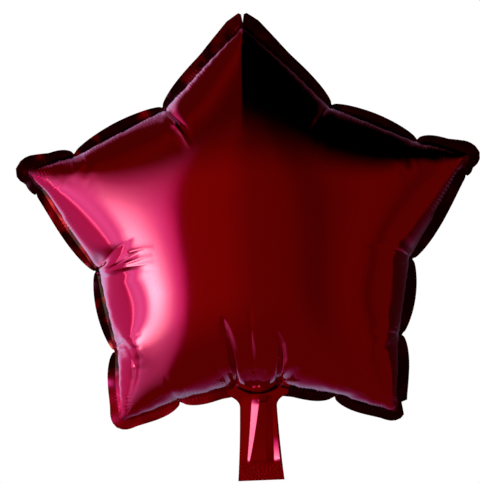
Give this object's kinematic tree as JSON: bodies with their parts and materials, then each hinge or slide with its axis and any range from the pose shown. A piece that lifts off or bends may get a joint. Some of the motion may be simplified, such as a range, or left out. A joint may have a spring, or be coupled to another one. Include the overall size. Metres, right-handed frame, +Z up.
{
  "type": "star foil balloon",
  "caption": "Inflated star-shaped foil balloon with a puckered heat-sealed rim and a flat filling tail that hangs below the star.",
  "frame": {"origin": "middle of the crimped end of the filling tail, where a ribbon, stick or clip holds the balloon", "axes": "+Z up along the tail and the top arm of the star, front face towards -Y, seam in the XZ plane"},
  "size_m": [0.455, 0.1526, 0.4556],
  "materials": {
    "film": "metallised crimson film, mirror gloss"
  },
  "bodies": {
    "root": {"star_balloon": "film"}
  },
  "joints": []
}
